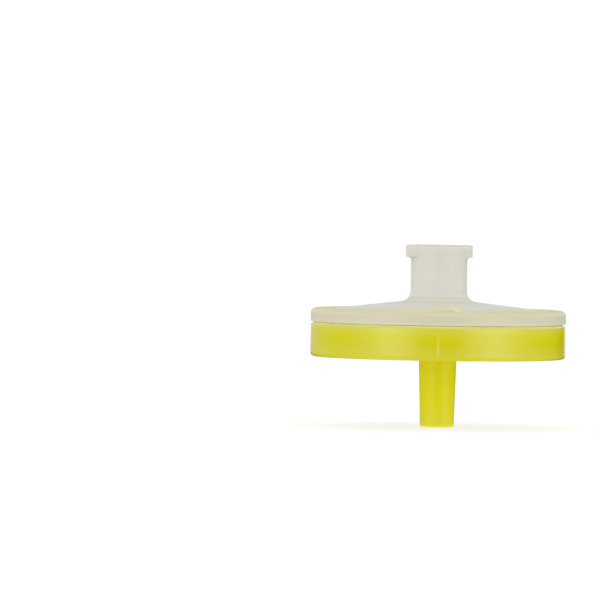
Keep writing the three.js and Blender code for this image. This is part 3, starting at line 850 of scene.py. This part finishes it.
# The gate was cut off inside a small well, where its nub stays below the surface
combine(inlet, "DIFFERENCE", shown("gate well", turned([
    [0.0, FLANGE_TOP - GATE_DEPTH],
    [GATE_WELL_RADIUS, FLANGE_TOP - GATE_DEPTH, 0.05],
    [GATE_WELL_RADIUS, FLANGE_TOP + GATE_DEPTH],
    [0.0, FLANGE_TOP + GATE_DEPTH],
], steps=48, place=GATE_PLACE)))
combine(inlet, "UNION", shown("gate nub", turned([
    [0.0, FLANGE_TOP - 2 * GATE_DEPTH],
    [GATE_NUB_RADIUS + 0.02, FLANGE_TOP - 2 * GATE_DEPTH],
    [GATE_NUB_RADIUS, FLANGE_TOP - 0.06, 0.04],
    [0.0, FLANGE_TOP - 0.04],
], steps=32, place=GATE_PLACE)))
smooth(inlet, natural_polypropylene)
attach(inlet, "root")
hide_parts("inlet_housing")

# ---------------------------------------------------------------- floor
# A white tabletop that keeps the part's soft shadow. It can't be seen from below.

FLOOR_REACH = 3000.0
FLOOR_PAINT, FLOOR_GLOW = 0.3, 0.72  # which together look white in this room
floor_mesh = bpy.data.meshes.new("floor")
floor_mesh.from_pydata([
    (x * FLOOR_REACH * MM, y * FLOOR_REACH * MM, 0)
    for x, y in ((-1, -1), (1, -1), (1, 1), (-1, 1))
], [], [(0, 1, 2, 3)])
floor = shown("floor", floor_mesh)
white_tabletop = bpy.data.materials.new("white_tabletop")
white_tabletop.use_nodes = True
table = white_tabletop.node_tree
table.nodes.clear()
table_paint = node(table, "ShaderNodeBsdfDiffuse", {"Color": (*[FLOOR_PAINT] * 3, 1.0)})
table_ray = node(table, "ShaderNodeLightPath").outputs
table_glow = node(table, "ShaderNodeEmission", {"Strength": FLOOR_GLOW})
table_top = node(table, "ShaderNodeAddShader",
                 {0: table_paint.outputs[0], 1: table_glow.outputs[0]})
table_side = node(table, "ShaderNodeNewGeometry")
table_under = node(table, "ShaderNodeMath",
                   {0: table_side.outputs["Backfacing"], 1: table_ray["Is Camera Ray"]},
                   operation="MULTIPLY")
table_hole = node(table, "ShaderNodeBsdfTransparent")
table_whole = node(table, "ShaderNodeMixShader",
                   {0: table_under.outputs[0], 1: table_top.outputs[0],
                    2: table_hole.outputs[0]})
node(table, "ShaderNodeOutputMaterial", {"Surface": table_whole.outputs[0]})
white_tabletop.cycles.emission_sampling = "NONE"
floor_mesh.materials.append(white_tabletop)

# ---------------------------------------------------------------- light
# A white room. Round the part stands a wall that only its gloss sees: bright where two
# upright softboxes light it from the front left and right, and dark or grey between. It
# runs on over the floor up to the tip, dimmer, and is plain above the softboxes.

PLAIN_LIGHT = 1.08  # at which a colour renders about as it is written
world = bpy.data.worlds.new("room")
world.use_nodes = True
world.node_tree.nodes["Background"].inputs["Color"].default_value = (1, 1, 1, 1)
world.node_tree.nodes["Background"].inputs["Strength"].default_value = PLAIN_LIGHT
world.cycles.sampling_method = "NONE"
bpy.context.scene.world = world

WALL_RADIUS, WALL_FOOT_RADIUS, WALL_HEIGHT = 140.0, 3.0, 180.0
WALL_THICKNESS, WALL_SKIN = 1.0, 0.1  # upright, and on the floor
FRONT = -90.0  # degrees, the side that faces the camera
FLOOR_LIGHT = 0.25  # of the wall's radiance, where it runs on over the floor
ROOM_LIGHT = 0.65  # above the softboxes
FLOOR_FADE, ROOM_FADE = (1.0, 4.0), (20.0, 45.0)  # levels over which they give way
# The wall's radiance at each angle, in degrees to the right of the camera's side
WALL_LIGHT = {
    8: 0.2, 20: 0.45, 27: 1.5, 41: 2.4, 52: 2.9, 65: 1.6, 78: 0.9, 93: 0.35, 110: 0.1,
    128: 0.05, 134: 0.0, 150: 0.0, 157: 0.7, 168: 0.66, 190: 0.66, 200: 0.55, 215: 0.45,
    237: 0.42, 257: 0.4, 273: 0.45, 287: 0.9, 300: 1.3, 312: 2.8, 324: 2.3, 335: 1.6,
    344: 0.5, 355: 0.2,
}
BRIGHTEST = max(WALL_LIGHT.values())
wall = shown("graded wall", turned([
    [WALL_FOOT_RADIUS, WALL_SKIN],
    [WALL_RADIUS + WALL_THICKNESS, WALL_SKIN],
    [WALL_RADIUS + WALL_THICKNESS, WALL_HEIGHT],
    [WALL_RADIUS, WALL_HEIGHT],
    [WALL_RADIUS, 2 * WALL_SKIN],
    [WALL_FOOT_RADIUS, 2 * WALL_SKIN],
]))
wall_glow = bpy.data.materials.new("graded_wall")
wall_glow.use_nodes = True
wall_glow.cycles.emission_sampling = "NONE"
light = wall_glow.node_tree
light.nodes.clear()
light_place = node(light, "ShaderNodeTexCoord").outputs["Object"]
light_parts = node(light, "ShaderNodeSeparateXYZ", {0: light_place})
light_angle = node(light, "ShaderNodeMath",
                   {0: light_parts.outputs["Y"], 1: light_parts.outputs["X"]},
                   operation="ARCTAN2")
light_aside = node(light, "ShaderNodeMath",
                   {0: light_angle.outputs[0], 1: math.radians(FRONT)}, operation="SUBTRACT")
light_share = node(light, "ShaderNodeMath", {0: light_aside.outputs[0], 1: math.tau, 2: 0.0},
                   operation="WRAP")
light_turn = node(light, "ShaderNodeMapRange", {0: light_share.outputs[0], 2: math.tau})
light_ramp = node(light, "ShaderNodeValToRGB", {0: light_turn.outputs[0]})
spread(light_ramp.color_ramp,
       {angle: (*[radiance / BRIGHTEST] * 3, 1.0) for angle, radiance in WALL_LIGHT.items()},
       0.0, 360.0)
light_foot = node(light, "ShaderNodeMapRange",
                  {0: light_parts.outputs["Z"], 1: FLOOR_FADE[0] * MM, 2: FLOOR_FADE[1] * MM,
                   3: FLOOR_LIGHT * BRIGHTEST, 4: BRIGHTEST})
light_above = node(light, "ShaderNodeMapRange",
                   {0: light_parts.outputs["Z"], 1: ROOM_FADE[0] * MM, 2: ROOM_FADE[1] * MM})
light_room = node(light, "ShaderNodeMix",
                  {"Factor": light_above.outputs[0], "A": light_ramp.outputs[0],
                   "B": (*[ROOM_LIGHT / BRIGHTEST] * 3, 1.0)}, data_type="RGBA")
light_glow = node(light, "ShaderNodeEmission",
                  {"Color": light_room.outputs["Result"], "Strength": light_foot.outputs[0]})
node(light, "ShaderNodeOutputMaterial", {"Surface": light_glow.outputs[0]})
wall.data.materials.append(wall_glow)
wall.visible_camera = wall.visible_diffuse = wall.visible_transmission = False
wall.visible_volume_scatter = wall.visible_shadow = False

bpy.context.scene.view_settings.view_transform = "Standard"
# Light reaches the membrane under the throat only after many turns in the white chamber
bpy.context.scene.cycles.max_bounces = 64
bpy.context.scene.cycles.diffuse_bounces = 48
